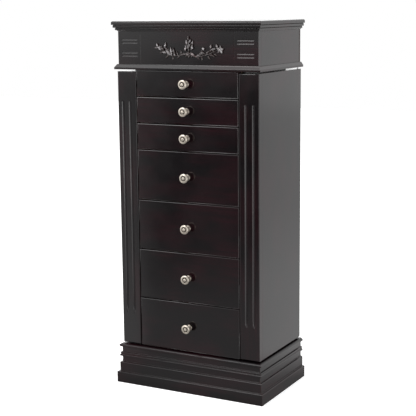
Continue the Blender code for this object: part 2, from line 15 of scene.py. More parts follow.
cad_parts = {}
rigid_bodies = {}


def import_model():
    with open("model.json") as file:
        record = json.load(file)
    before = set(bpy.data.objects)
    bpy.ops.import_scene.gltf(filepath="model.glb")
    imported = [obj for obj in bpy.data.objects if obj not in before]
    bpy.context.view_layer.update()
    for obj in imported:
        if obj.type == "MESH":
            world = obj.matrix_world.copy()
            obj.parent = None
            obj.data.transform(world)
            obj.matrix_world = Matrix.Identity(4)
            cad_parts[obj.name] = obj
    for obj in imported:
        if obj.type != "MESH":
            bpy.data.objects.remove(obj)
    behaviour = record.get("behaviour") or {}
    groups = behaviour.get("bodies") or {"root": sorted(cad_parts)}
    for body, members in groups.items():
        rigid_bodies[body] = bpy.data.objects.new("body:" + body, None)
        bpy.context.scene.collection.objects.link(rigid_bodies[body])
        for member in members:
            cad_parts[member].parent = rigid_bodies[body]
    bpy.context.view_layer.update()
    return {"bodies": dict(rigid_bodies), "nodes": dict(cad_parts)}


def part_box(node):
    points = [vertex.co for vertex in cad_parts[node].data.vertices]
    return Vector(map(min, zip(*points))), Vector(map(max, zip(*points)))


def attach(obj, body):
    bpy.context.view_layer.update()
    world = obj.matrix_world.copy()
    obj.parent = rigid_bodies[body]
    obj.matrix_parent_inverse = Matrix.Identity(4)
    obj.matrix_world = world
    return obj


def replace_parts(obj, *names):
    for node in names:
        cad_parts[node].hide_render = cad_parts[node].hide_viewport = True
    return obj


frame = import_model()

MM = 0.001
FACE_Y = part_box("door_left_stile")[0].y  # the plane of the door and drawer faces
DRAWERS = [name for name in sorted(frame["bodies"]) if name.startswith("drawer_")]
SIDES = ((-1, "left"), (1, "right"))


def span(node):
    """A CAD node's ranges in X, in depth and in Z, in millimetres."""
    low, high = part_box(node)
    depth = ((low.y - FACE_Y) / MM, (high.y - FACE_Y) / MM)
    return (low.x / MM, high.x / MM), depth, (low.z / MM, high.z / MM)


HALF_WIDTH = span("door_right_panel")[0][1]
REAR = span("case_back")[1][1]

# Mouldings: overhang past the door faces, height, and how far each corner is rounded
BASE_OUTLINE = [
    (15.0, 0.0, 0.5), (15.0, 30.8, 1.7), (8.5, 31.5, 0.7), (8.5, 58.2, 1.8), (3.0, 59.6, 0.8),
    (3.0, 74.2, 0.8), (8.7, 76.0, 1.3), (8.7, 80.4, 1.2), (6.0, 82.0, 0.5), (7.0, 83.4, 1.0),
    (7.0, 87.2, 1.2), (3.0, 88.6, 0.8), (3.0, 101.7, 0.2),
]
DECK_OUTLINE = [
    (3.0, 102.0, 0.3), (9.2, 104.4, 1.0), (9.3, 109.4, 1.3), (7.2, 110.9, 0.6), (2.5, 113.5, 0.8),
]
WAIST_OUTLINE = [
    (6.3, 887.0, 0.8), (6.3, 892.3, 1.5), (0.9, 899.6, 0.5), (0.5, 900.8, 0.6), (-2.4, 901.2, 0.0),
]
WAIST_BED = 899.0  # the waist moulding's top behind its lip, where the upper box stands
LID_OUTLINE = [
    (-1.5, 990.0, 0.3), (-0.5, 991.6, 0.4), (2.9, 992.3, 0.4), (3.0, 997.0, 1.3), (1.6, 997.9, 0.2),
    (7.3, 998.5, 0.5), (7.4, 1005.1, 1.7), (5.6, 1005.9, 0.2), (10.6, 1006.4, 0.5), (10.6, 1013.7, 3.4),
    (7.5, 1016.0, 1.5), (3.0, 1016.0, 0.0),
]
BASE_WALL = 12.0
MITRE_GAP = 0.15  # each base moulding stops this far short of its mitre

# Flutes of the door stiles and grooves of the frieze blocks, measured from the middle
FLUTE_X = (175.4, 197.6)
FLUTE_ENDS = (206.0, 803.0)
FLUTE_HALF = 3.9  # half the width
FLUTE_RUNOUT = 6.0  # how far a flute is drawn out at its foot, where the cutter leaves the wood
FLUTE_DEPTH = 2.6
GROOVE_X = (149.5, 199.0)
GROOVE_Z = (923.5, 932.0, 958.4, 966.8)
GROOVE_HALF = 2.1
GROOVE_DEPTH = 1.25

HOOK_COUNT = 6
HOOK_BAR = {"thick": 2.0, "high": 14.0, "centre": 838.0}
HOOK_WIRE = 1.6  # the wire's radius
HOOK_FIRST, HOOK_PITCH = 68.0, 28.0
SCREW_COUNT = 6
SCREW_FROM_END, SCREW_FROM_EDGE = 16.0, 8.0
TRAY_COLUMNS, TRAY_ROWS = 3, 2
TRAY_WALL, TRAY_FLOOR = 5.0, 3.0
DRAWER_WALL, DRAWER_FLOOR = 8.0, 4.0
LINING_THICK, LINING_EDGE = 4.5, 1.6  # at the middle, and at its rim
RING_ROLL_COUNT = 7
CARVING_FOOT = 932.0  # the height that the carving's places are measured from

# The bands of light on the floor are laid out by bearing from this place, in metres. It lies about 5 cm
# from the camera's mirror image in the plane of the front faces, so the bands stand nearly upright on
# the fronts in that camera's view, and not in others.
FAN_X, FAN_Y = 1.46, 2.42


# ---------------------------------------------------------------- materials

WHOLE = (1.0, 1.0, 1.0)  # a texture's scale where it isn't drawn out along the grain


def add_node(tree, kind, inputs=None, **settings):
    """A node with its settings and inputs: an input is a value, or a socket to link from."""
    made = tree.nodes.new(kind)
    for key, value in settings.items():
        setattr(made, key, value)
    for key, value in (inputs or {}).items():
        if isinstance(value, bpy.types.NodeSocket):
            tree.links.new(value, made.inputs[key])
        else:
            made.inputs[key].default_value = value
    return made


def new_look(name, **sockets):
    look = bpy.data.materials.new(name)
    look.use_nodes = True
    shader = look.node_tree.nodes["Principled BSDF"]
    for key, value in sockets.items():
        shader.inputs[key.replace("_", " ")].default_value = value
    return look, look.node_tree, shader


def feed(tree, shader, colour, roughness=None, normal=None):
    """Links a shader's main inputs."""
    for socket, value in (("Base Color", colour), ("Roughness", roughness), ("Normal", normal)):
        if value is not None:
            tree.links.new(value, shader.inputs[socket])


def object_coords(tree, scale):
    """Coordinates fixed to the piece, stretched by a scale along each axis."""
    coords = add_node(tree, "ShaderNodeTexCoord")
    vector = {"Vector": coords.outputs["Object"], "Scale": scale}
    return add_node(tree, "ShaderNodeMapping", vector).outputs["Vector"]


def noise(tree, vector, scale, detail=3.0, roughness=0.55):
    inputs = {"Vector": vector, "Scale": scale, "Detail": detail, "Roughness": roughness}
    return add_node(tree, "ShaderNodeTexNoise", inputs).outputs["Fac"]


def remap(tree, value, low, high, to_low, to_high):
    inputs = {"Value": value, "From Min": low, "From Max": high, "To Min": to_low, "To Max": to_high}
    return add_node(tree, "ShaderNodeMapRange", inputs).outputs["Result"]


def mix_colour(tree, share, first, second, blend="MIX"):
    mixer = add_node(tree, "ShaderNodeMix", data_type="RGBA", blend_type=blend)
    for socket, value in zip((mixer.inputs[0], mixer.inputs[6], mixer.inputs[7]), (share, first, second)):
        if isinstance(value, bpy.types.NodeSocket):
            tree.links.new(value, socket)
        elif isinstance(value, tuple):
            socket.default_value = (*value, 1.0)
        else:
            socket.default_value = value
    return mixer.outputs[2]


def math_node(tree, operation, first, second):
    return add_node(tree, "ShaderNodeMath", {0: first, 1: second}, operation=operation).outputs[0]


def multiply(tree, first, second):
    return math_node(tree, "MULTIPLY", first, second)


def length_of(tree, vector):
    return add_node(tree, "ShaderNodeVectorMath", {0: vector}, operation="LENGTH").outputs["Value"]


def bump(tree, height, distance, strength=1.0, normal=None):
    inputs = {"Height": height, "Distance": distance, "Strength": strength}
    if normal is not None:
        inputs["Normal"] = normal
    return add_node(tree, "ShaderNodeBump", inputs).outputs["Normal"]


def edge_share(tree, radius):
    """How near a point is to a corner of the piece, from 0 to 1."""
    rounded = add_node(tree, "ShaderNodeBevel", {"Radius": radius}, samples=4).outputs["Normal"]
    flat = add_node(tree, "ShaderNodeNewGeometry").outputs["Normal"]
    dot = add_node(tree, "ShaderNodeVectorMath", {0: rounded, 1: flat}, operation="DOT_PRODUCT")
    return remap(tree, dot.outputs["Value"], 0.995, 0.8, 0.0, 1.0)


def along_grain(grain, across, along):
    """Scales that draw a texture out along the grain: 0 for X, 1 for Y and 2 for Z."""
    return tuple(along if axis == grain else across for axis in range(3))


def lacquered_wood(name, grain, dark=(0.0030, 0.0022, 0.0027), red=(0.0135, 0.0030, 0.0048)):
    """Espresso lacquer over a fine-grained wood, with mahogany showing through in places."""
    look, tree, shader = new_look(name, Roughness=0.14)
    streaks = noise(tree, object_coords(tree, along_grain(grain, 260.0, 9.0)), 1.0, 4.0, 0.62)
    patches = noise(tree, object_coords(tree, along_grain(grain, 13.0, 6.0)), 1.0, 2.0)
    fine = remap(tree, streaks, 0.34, 0.66, 0.30, 1.0)
    shown = multiply(tree, fine, remap(tree, patches, 0.42, 0.62, 0.08, 1.0))
    stain = mix_colour(tree, shown, dark, red)
    # Lighter, warmer colour near the edges: partly worn-through lacquer, partly a painted highlight along
    # the rounded edges
    rubbed_and_sheen = multiply(tree, edge_share(tree, 0.0011), remap(tree, patches, 0.35, 0.60, 0.15, 0.8))
    colour = mix_colour(tree, rubbed_and_sheen, stain, (0.060, 0.022, 0.018))
    cloudy = noise(tree, object_coords(tree, WHOLE), 14.0, 3.0)
    polish = remap(tree, cloudy, 0.3, 0.7, 0.11, 0.17)
    pores = noise(tree, object_coords(tree, along_grain(grain, 1100.0, 45.0)), 1.0, 2.0)
    feed(tree, shader, colour, polish, bump(tree, pores, 0.00004, 0.35))
    return look


def raw_wood(name, grain, pale, dark, roughness):
    """Unlacquered or stained wood inside the case."""
    look, tree, shader = new_look(name, Roughness=roughness)
    bands = noise(tree, object_coords(tree, along_grain(grain, 120.0, 5.0)), 1.0, 5.0, 0.6)
    fibres = noise(tree, object_coords(tree, along_grain(grain, 900.0, 30.0)), 1.0, 3.0)
    colour = mix_colour(tree, remap(tree, bands, 0.35, 0.68, 0.0, 1.0), pale, dark)
    shaded = mix_colour(tree, remap(tree, fibres, 0.42, 0.7, 0.0, 0.45), colour, dark)
    worn = remap(tree, fibres, 0.3, 0.7, roughness - 0.08, roughness + 0.08)
    feed(tree, shader, shaded, worn, bump(tree, fibres, 0.0001, 0.5))
    return look


def velvet(name, colour, lifted):
    """A short pile that is brushed one way in one place and the other way in the next."""
    look, tree, shader = new_look(
        name, Roughness=0.9, Sheen_Weight=0.55, Sheen_Roughness=0.35, Sheen_Tint=(0.6, 0.56, 0.6, 1.0),
    )
    whole = object_coords(tree, WHOLE)
    brushed = noise(tree, whole, 28.0, 3.0)
    pile = noise(tree, whole, 1500.0, 2.0)
    tone = mix_colour(tree, remap(tree, brushed, 0.35, 0.65, 0.0, 1.0), colour, lifted)
    speckled = mix_colour(tree, remap(tree, pile, 0.4, 0.7, 0.0, 0.5), tone, lifted)
    soft = bump(tree, brushed, 0.0006, 0.5)
    feed(tree, shader, speckled, normal=bump(tree, pile, 0.00025, 0.7, soft))
    return look


def worn_metal(name, bright, tarnish, roughness):
    """Cast or drawn metal with tarnish in its hollows and fine scratches."""
    look, tree, shader = new_look(name, Metallic=1.0, Roughness=roughness)
    clouds = noise(tree, object_coords(tree, WHOLE), 220.0, 4.0)
    fine = noise(tree, object_coords(tree, (2600.0, 2600.0, 300.0)), 1.0, 2.0)
    colour = mix_colour(tree, remap(tree, clouds, 0.38, 0.72, 0.0, 0.75), bright, tarnish)
    worn = remap(tree, clouds, 0.3, 0.7, roughness - 0.06, roughness + 0.12)
    feed(tree, shader, colour, worn, bump(tree, fine, 0.00005, 0.25))
    return look


def knob_metal(name):
    """Antique pewter, dark in the ring round the button and at the foot."""
    look, tree, shader = new_look(name, Metallic=1.0, Roughness=0.3)
    coords = object_coords(tree, WHOLE)
    parts = add_node(tree, "ShaderNodeSeparateXYZ", {"Vector": coords})
    flat = add_node(tree, "ShaderNodeCombineXYZ", {"X": parts.outputs["X"], "Y": parts.outputs["Z"]})
    radius = length_of(tree, flat.outputs[0])
    ring_radius = 0.0057
    off_ring = math_node(tree, "SUBTRACT", radius, ring_radius)
    near_ring = add_node(tree, "ShaderNodeMath", {0: off_ring}, operation="ABSOLUTE").outputs[0]
    ring = remap(tree, near_ring, 0.0008, 0.0018, 1.0, 0.0)
    front = remap(tree, parts.outputs["Y"], -0.0170, -0.0195, 0.0, 1.0)
    foot = remap(tree, parts.outputs["Y"], -0.0165, -0.0120, 0.0, 0.8)
    clouds = noise(tree, coords, 260.0, 4.0)
    aged = remap(tree, clouds, 0.36, 0.74, 0.0, 0.6)
    patina = mix_colour(tree, aged, (0.66, 0.60, 0.52), (0.38, 0.33, 0.27))
    dished = mix_colour(tree, multiply(tree, ring, front), patina, (0.07, 0.058, 0.05))
    colour = mix_colour(tree, foot, dished, (0.16, 0.135, 0.115))
    feed(tree, shader, colour, remap(tree, clouds, 0.3, 0.7, 0.24, 0.42), bump(tree, clouds, 0.00012, 0.4))
    return look


def carved_resin(name):
    """Dark lacquer on the carving, rubbed to old silver on what stands proud and to copper in patches."""
    look, tree, shader = new_look(name, Roughness=0.22, Coat_Weight=0.5, Coat_Roughness=0.12)
    coords = object_coords(tree, WHOLE)
    parts = add_node(tree, "ShaderNodeSeparateXYZ", {"Vector": coords})
    frieze_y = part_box("frieze_panel")[0].y
    proud = remap(tree, parts.outputs["Y"], frieze_y - 0.0034, frieze_y - 0.0066, 0.0, 1.0)
    clouds = noise(tree, coords, 130.0, 4.0)
    rubbed_and_sheen = multiply(tree, proud, remap(tree, clouds, 0.42, 0.58, 0.05, 1.0))
    copper = remap(tree, noise(tree, coords, 34.0, 2.0), 0.55, 0.72, 0.0, 0.6)
    metal = mix_colour(tree, copper, (0.50, 0.48, 0.49), (0.24, 0.11, 0.09))
    colour = mix_colour(tree, rubbed_and_sheen, (0.020, 0.010, 0.009), metal)
    chisel = bump(tree, noise(tree, coords, 420.0, 3.0), 0.0003, 0.35)
    feed(tree, shader, colour, remap(tree, clouds, 0.3, 0.7, 0.14, 0.32), chisel)
    tree.links.new(multiply(tree, rubbed_and_sheen, 0.75), shader.inputs["Metallic"])
    return look


def mirror_glass(name):
    """Silvered glass with a faint haze."""
    look, tree, shader = new_look(name, Metallic=1.0, Roughness=0.02)
    haze = noise(tree, object_coords(tree, WHOLE), 30.0, 3.0)
    silver = mix_colour(tree, haze, (0.86, 0.88, 0.88), (0.80, 0.83, 0.83))
    feed(tree, shader, silver, remap(tree, haze, 0.4, 0.8, 0.01, 0.05))
    return look


LOOKS = {
    "wood_x": lacquered_wood("espresso lacquer, grain left to right", 0),
    "wood_y": lacquered_wood("espresso lacquer, grain front to back", 1),
    "wood_z": lacquered_wood("espresso lacquer, upright grain", 2),
    "back": raw_wood("stained back board", 2, (0.034, 0.019, 0.014), (0.014, 0.008, 0.007), 0.6),
    "runner": raw_wood("bare runner wood", 1, (0.42, 0.27, 0.15), (0.24, 0.13, 0.065), 0.55),
    "drawer_box": raw_wood("stained drawer wood", 1, (0.048, 0.020, 0.014), (0.018, 0.008, 0.006), 0.45),
    "velvet": velvet("black velvet", (0.0065, 0.0055, 0.0075), (0.020, 0.017, 0.022)),
    "knob": knob_metal("antique pewter"),
    "brass": worn_metal("hinge brass", (0.50, 0.34, 0.15), (0.20, 0.12, 0.055), 0.32),
    "steel": worn_metal("pin steel", (0.60, 0.60, 0.61), (0.36, 0.36, 0.37), 0.3),
    "carving": carved_resin("carved resin"),
    "mirror": mirror_glass("mirror glass"),
}


# ---------------------------------------------------------------- shape tools


def spot(x, depth, z):
    """A point of the armoire in metres."""
    return Vector((x * MM, FACE_Y + depth * MM, z * MM))


def filleted(outline, steps=5):
    """Rounds each corner of an open outline of (a, b, radius) points with a short arc."""
    points = []
    for i, (a, b, radius) in enumerate(outline):
        here = Vector((a, b))
        if i in (0, len(outline) - 1) or radius == 0:
            points.append(here)
            continue
        before = Vector(outline[i - 1][:2]) - here
        after = Vector(outline[i + 1][:2]) - here
        half = before.angle(after) / 2
        reach = min(radius / math.tan(half), 0.48 * before.length, 0.48 * after.length)
        start, end = here + before.normalized() * reach, here + after.normalized() * reach
        for k in range(steps + 1):
            t = k / steps
            points.append(start * (1 - t) ** 2 + here * 2 * t * (1 - t) + end * t**2)
    return [(p.x, p.y) for p in points]


def finish_piece(name, bm, look, body, smooth_angle=40.0, origin=None):
    """Closes a mesh into a named piece that rides on a body and takes its finish from a slot."""
    bmesh.ops.recalc_face_normals(bm, faces=bm.faces)
    if origin is not None:
        bmesh.ops.translate(bm, verts=bm.verts, vec=-origin)
    mesh = bpy.data.meshes.new(name)
    bm.to_mesh(mesh)
    bm.free()
    mesh.shade_smooth()
    mesh.set_sharp_from_angle(angle=math.radians(smooth_angle))
    mesh.materials.append(look)
    piece = bpy.data.objects.new(name, mesh)
    if origin is not None:
        piece.location = origin
    bpy.context.scene.collection.objects.link(piece)
    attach(piece, body)
    return piece


def even_shading(piece):
    """Keeps the flat faces flat beside their rounded edges."""
    weighted = piece.modifiers.new("even shading", "WEIGHTED_NORMAL")
    weighted.keep_sharp = True
    return piece


def ease(piece, width, segments=3, method="ANGLE"):
    """Rounds the sharp edges of a board."""
    edges = piece.modifiers.new("eased edges", "BEVEL")
    edges.width = width * MM
    edges.segments = segments
    edges.limit_method = method
    edges.angle_limit = math.radians(35)
    edges.use_clamp_overlap = True
    return even_shading(piece)


def dress(node, look, width=0.6, segments=2):
    """Gives a CAD node its material and eased edges. Its own mesh stays as it is."""
    board = frame["nodes"][node]
    board.data.materials.clear()
    board.data.materials.append(look)
    join = board.modifiers.new("join corners", "WELD")
    join.merge_threshold = 0.000002
    if width:
        ease(board, width, segments)
    return board


def box_mesh(x, depth, z):
    """A box between two values each of x, depth and z."""
    bm = bmesh.new()
    corners = [bm.verts.new(spot(a, b, c)) for c in z for b in depth for a in x]
    for face in ((0, 1, 3, 2), (4, 5, 7, 6), (0, 1, 5, 4), (2, 3, 7, 6), (0, 2, 6, 4), (1, 3, 7, 5)):
        bm.faces.new([corners[i] for i in face])
    return bm


def skin(bm, *rings):
    """Faces between one ring of points and the next."""
    for low, high in zip(rings, rings[1:]):
        for i in range(len(low)):
            j = (i + 1) % len(low)
            bm.faces.new((low[i], low[j], high[j], high[i]))


def solid_skin(bm, rings):
    """Faces between the rings, and one across each end."""
    skin(bm, *rings)
    bm.faces.new(rings[0])
    return bm.faces.new(rings[-1])


def fill_grid(bm, grid):
    """Faces between the rows of a grid of points."""
    for low, high in zip(grid, grid[1:]):
        for i in range(len(low) - 1):
            bm.faces.new((low[i], low[i + 1], high[i + 1], high[i]))


def rim_of(grid):
    """The points round the edge of a grid, in order."""
    rim = [*grid[0], *[row[-1] for row in grid[1:]], *reversed(grid[-1][:-1])]
    return rim + [row[0] for row in reversed(grid[1:-1])]


def swept(outline, stations):
    """Carries a closed outline of (overhang, height) points through a row of stations."""
    bm = bmesh.new()
    solid_skin(bm, [[bm.verts.new(station(*point)) for point in outline] for station in stations])
    return bm


def corner(side, inset_x=0.0, inset_depth=0.0):
    """A station at a front corner: it places a moulding's (overhang, height) points there."""
    return lambda over, z: spot(side * (HALF_WIDTH + over - inset_x), inset_depth - over, z)


def rear_end(side):
    """A station where a side moulding ends, flush with the back."""
    return lambda over, z: spot(side * (HALF_WIDTH + over), REAR, z)


def moulded_board(outline):
    """A full-width board whose front and side edges follow a moulding; its back is flush."""
    bm = bmesh.new()
    rings = []
    for over, z in outline:
        half = HALF_WIDTH + over
        ring = [(-half, REAR), (-half, -over), (half, -over), (half, REAR)]
        rings.append([bm.verts.new(spot(x, depth, z)) for x, depth in ring])
    solid_skin(bm, rings)
    return bm


def turned(outline, centre, segments=48):
    """A turned solid about the front-to-back axis: outline is (radius, distance forward)."""
    bm = bmesh.new()
    rings = []
    for radius, along in outline:
        turns = [2 * math.pi * i / segments for i in range(1 if radius == 0 else segments)]
        rings.append([
            bm.verts.new(centre + Vector((radius * math.cos(t), -along, radius * math.sin(t))) * MM)
            for t in turns
        ])
    for low, high in zip(rings, rings[1:]):
        for i in range(segments):
            j = (i + 1) % segments
            corners = [low[i % len(low)], low[j % len(low)], high[j % len(high)], high[i % len(high)]]
            bm.faces.new(dict.fromkeys(corners))
    return bm


def spread(low, high, count):
    """Evenly spaced values from one end to the other."""
    return [low + (high - low) * i / (count - 1) for i in range(count)]


def relief_board(x, depth, z, columns, rows, sink):
    """A board whose face is a grid of points, each sunk by a depth worked out from its place."""
    columns = sorted({x[0], *columns, x[1]})
    rows = sorted({z[0], *rows, z[1]})
    bm = bmesh.new()
    face = [[bm.verts.new(spot(a, depth[0] + sink(a, c), c)) for a in columns] for c in rows]
    fill_grid(bm, face)
    rim = rim_of(face)
    back = [bm.verts.new(Vector((v.co.x, FACE_Y + depth[1] * MM, v.co.z))) for v in rim]
    skin(bm, rim, back)
    bm.faces.new(back)
    weights = bm.edges.layers.float.new("bevel_weight_edge")
    edges_of_face = {frozenset((rim[i], rim[(i + 1) % len(rim)])) for i in range(len(rim))}
    for edge in bm.edges:
        edge[weights] = 1.0 if frozenset(edge.verts) in edges_of_face else 0.0
    return bm


def hollow(half_width, depth):
    """A round-bottomed groove's depth at a distance from its middle line, with softened lips."""
    radius = (half_width**2 + depth**2) / (2 * depth)
    lip = 0.35

    def at(distance):
        inside = math.sqrt(max(radius**2 - min(distance, half_width) ** 2, 0)) - (radius - depth)
        soft = min(max((half_width + lip - distance) / (2 * lip), 0.0), 1.0)
        return max(inside, 0.0) if distance < half_width - lip else inside * soft * 0.9

    return at


def vee(half_width, depth):
    """A V-groove's depth at a distance from its middle line."""
    return lambda distance: depth * max(1.0 - distance / half_width, 0.0)


# ---------------------------------------------------------------- woodwork


def make_base():
    """Three mitred plinth mouldings, the deck board on them and the rail behind."""
    inner = -BASE_WALL
    top = BASE_OUTLINE[-1][1]
    outline = [*filleted(BASE_OUTLINE), (inner, top), (inner, 0.0)]
    front = swept(outline, [corner(-1, MITRE_GAP), corner(1, MITRE_GAP)])
    pieces = {"front": (front, "wood_x")}
    for side, label in SIDES:
        run = [corner(side, inset_depth=MITRE_GAP), rear_end(side)]
        pieces[label] = (swept(outline, run), "wood_y")
    for label, (bm, look) in pieces.items():
        piece = finish_piece(f"base_moulding_{label}", bm, LOOKS[look], "case")
        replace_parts(even_shading(piece), f"base_{label}")
    board = moulded_board(filleted(DECK_OUTLINE))
    deck = finish_piece("deck_board", board, LOOKS["wood_x"], "case")
    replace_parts(even_shading(deck), "base_deck")
    dress("base_back", LOOKS["wood_x"])


def make_case():
    """The boards of the case and the upper box, and the moulding between them."""
    for _, label in SIDES:
        dress(f"case_{label}", LOOKS["wood_z"])
        dress(f"runners_{label}", LOOKS["runner"], 0.4)
        dress(f"upper_{label}", LOOKS["wood_y"])
    dress("case_back", LOOKS["back"])
    dress("upper_back", LOOKS["back"])
    dress("waist_board", LOOKS["wood_x"], 0)
    inner = -span("waist_board")[1][0] + 0.3
    bottom, lip = WAIST_OUTLINE[0][1], WAIST_OUTLINE[-1][0]
    outline = [*filleted([(inner, bottom, 0), *WAIST_OUTLINE]), (lip, WAIST_BED), (inner, WAIST_BED)]
    stations = [rear_end(-1), corner(-1), corner(1), rear_end(1)]
    waist = finish_piece("waist_band", swept(outline, stations), LOOKS["wood_x"], "case")
    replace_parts(even_shading(waist), "waist_moulding")


def make_frieze():
    """The frieze panel and the two end blocks, each with four V-grooves across it."""
    dress("frieze_panel", LOOKS["wood_x"], 1.0)
    groove = vee(GROOVE_HALF, GROOVE_DEPTH)
    for side, label in SIDES:
        x, depth, z = span(f"frieze_block_{label}")
        ends = sorted(side * a for a in GROOVE_X)
        first, last = ends[0] + GROOVE_HALF, ends[1] - GROOVE_HALF

        def sink(a, c, first=first, last=last):
            aside = max(first - a, a - last, 0.0)
            return max(groove(math.hypot(aside, c - height)) for height in GROOVE_Z)

        rows = [c + GROOVE_HALF * 1.2 * t for c in GROOVE_Z for t in spread(-1, 1, 17)]
        columns = [a for end, way in ((first, -1), (last, 1)) for a in spread(end, end + way * 3.0, 9)]
        block = relief_board(x, depth, z, columns, rows, sink)
        piece = finish_piece(f"grooved_block_{label}", block, LOOKS["wood_x"], "case", 20)
        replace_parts(ease(piece, 1.0, 3, "WEIGHT"), f"frieze_block_{label}")


def make_doors():
    """Each side door: the fluted stile, side board, frame, pins and hooks."""
    flute = hollow(FLUTE_HALF, FLUTE_DEPTH)
    for side, label in SIDES:
        body = f"door_{label}"
        x, depth, z = span(f"{body}_stile")
        centres = [side * a for a in FLUTE_X]
        first = FLUTE_ENDS[0] + FLUTE_HALF * FLUTE_RUNOUT
        last = FLUTE_ENDS[1] - FLUTE_HALF

        def sink(a, c, centres=centres, first=first, last=last):
            beyond = max((first - c) / FLUTE_RUNOUT, c - last, 0.0)
            return max(flute(math.hypot(beyond, a - centre)) for centre in centres)

        columns = [a + FLUTE_HALF * 1.15 * t for a in centres for t in spread(-1, 1, 21)]
        reaches = ((first, -5.0 * FLUTE_RUNOUT), (last, 5.0))
        rows = [c for end, reach in reaches for c in spread(end, end + reach, 13)]
        stile = relief_board(x, depth, z, columns, rows, sink)
        piece = finish_piece(f"fluted_stile_{label}", stile, LOOKS["wood_z"], body)
        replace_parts(ease(piece, 2.0, 5, "WEIGHT"), f"{body}_stile")
        make_door_panel(side, label, body)
        dress(f"{body}_frame", LOOKS["wood_z"], 0.8)
        for pin in ("pin_lower", "pin_upper"):
            dress(f"{body}_{pin}", LOOKS["steel"], 0.2)
        make_hooks(side, label, body)


def make_door_panel(side, label, body):
    """The flat side board, with a rounded rear corner."""
    x, depth, z = span(f"{body}_panel")
    inner, outer = (x[0], x[1]) if side > 0 else (x[1], x[0])
    rear = 2.5
    outline = filleted([
        (inner, depth[0], 0), (outer, depth[0], 0.3), (outer, depth[1], rear), (inner, depth[1], 0),
    ])
    ends = [lambda a, b, c=c: spot(a, b, c) for c in z]
    board = swept(outline, ends)
    piece = finish_piece(f"side_panel_{label}", board, LOOKS["wood_z"], body)
    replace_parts(ease(piece, 0.7, 3), f"{body}_panel")


def bent_wire(route, radius, sides=14):
    """A round wire along a route of points in metres, with rounded ends."""
    bm = bmesh.new()
    rings = []
    count = len(route)
    for i, point in enumerate(route):
        run = (route[min(i + 1, count - 1)] - route[max(i - 1, 0)]).normalized()
        aside = Vector((0, 1, 0))
        up = run.cross(aside).normalized()
        turns = [2 * math.pi * k / sides for k in range(sides)]
        rings.append([
            bm.verts.new(point + (aside * math.cos(t) + up * math.sin(t)) * radius * MM) for t in turns
        ])
    cap = solid_skin(bm, rings)
    bmesh.ops.bevel(bm, geom=list(cap.edges), offset=radius * 0.6 * MM, segments=4, affect="EDGES")
    return bm


def arc(centre, radius, start, end, steps):
    """Points on an arc in a plane of constant depth: (out, rise) from its centre."""
    turns = [math.radians(start + (end - start) * i / steps) for i in range(steps + 1)]
    return [(centre[0] + radius * math.cos(t), centre[1] + radius * math.sin(t)) for t in turns]


def make_hooks(side, label, body):
    """A brass strip with six upturned necklace hooks."""
    node = f"{body}_hooks"
    x, depth, _ = span(node)
    wall = side * max(abs(a) for a in x)
    centre, half = HOOK_BAR["centre"], HOOK_BAR["high"] / 2
    across = sorted((wall, wall - side * HOOK_BAR["thick"]))
    bar = box_mesh(across, depth, (centre - half, centre + half))
    bmesh.ops.bevel(bar, geom=list(bar.edges), offset=0.5 * MM, segments=3, affect="EDGES")
    piece = finish_piece(f"hook_bar_{label}", bar, LOOKS["brass"], body)
    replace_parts(even_shading(piece), node)
    turn = arc((10.0, 4.9), 4.6, -90, 0, 8)
    route = [(1.2, 0.3), (5.0, 0.3), *turn, (14.6, 8.0)]
    for i in range(HOOK_COUNT):
        at = HOOK_FIRST + HOOK_PITCH * i
        points = [spot(wall - side * out, at, centre + rise) for out, rise in route]
        hook = bent_wire(points, HOOK_WIRE)
        finish_piece(f"necklace_hook_{label}_{i + 1}", hook, LOOKS["brass"], body)


def rounded_box(x, depth, z, front_round, other_round, steps=5):
    """A board whose front corners are rounded well and whose rear ones are only eased."""
    bm = box_mesh(x, depth, z)
    front_y = spot(0, depth[0], 0).y
    near = [e for e in bm.edges if all(abs(v.co.y - front_y) < 1e-6 for v in e.verts)]
    bmesh.ops.bevel(bm, geom=near, offset=front_round * MM, segments=steps, profile=0.5, affect="EDGES")
    rear_y = spot(0, depth[1], 0).y
    far = [e for e in bm.edges if all(abs(v.co.y - rear_y) < 1e-6 for v in e.verts)]
    bmesh.ops.bevel(bm, geom=far, offset=other_round * MM, segments=2, affect="EDGES")
    return bm


def make_drawers():
    """The drawer fronts, boxes, knobs and linings."""
    for body in DRAWERS:
        x, depth, z = span(f"{body}_front")
        front = rounded_box(x, depth, z, 2.4, 0.5)
        piece = finish_piece(f"{body}_face", front, LOOKS["wood_x"], body, 60)
        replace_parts(even_shading(piece), f"{body}_front")
        dress(f"{body}_box", LOOKS["drawer_box"], 0.8)
        make_knob(body)
        make_lining(body)


# A knob's turned outline: radius, distance forward, and how far each corner is rounded
KNOB_OUTLINE = [
    (0.0, 0.3, 0), (8.7, 0.3, 0.3), (9.0, 1.4, 0.6), (7.2, 2.7, 1.0), (4.5, 4.0, 1.4), (3.9, 8.5, 3.0),
    (4.4, 12.6, 2.0), (7.6, 15.0, 1.6), (12.0, 16.4, 1.5), (13.0, 18.8, 1.6), (12.3, 21.6, 1.4),
    (9.6, 22.9, 1.8), (7.3, 22.9, 0.5), (6.7, 21.5, 0.4), (4.8, 21.5, 0.4), (4.3, 23.8, 0.5),
    (3.0, 24.8, 0.8), (0.0, 25.0, 0),
]


def make_knob(body):
    """A turned pewter knob with a dished face round a button."""
    node = f"{body}_knob"
    low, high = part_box(node)
    centre = Vector(((low.x + high.x) / 2, FACE_Y, (low.z + high.z) / 2))
    shape = turned(filleted(KNOB_OUTLINE, 4), centre)
    piece = finish_piece(f"{body}_pull", shape, LOOKS["knob"], body, 55, centre)
    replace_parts(piece, node)


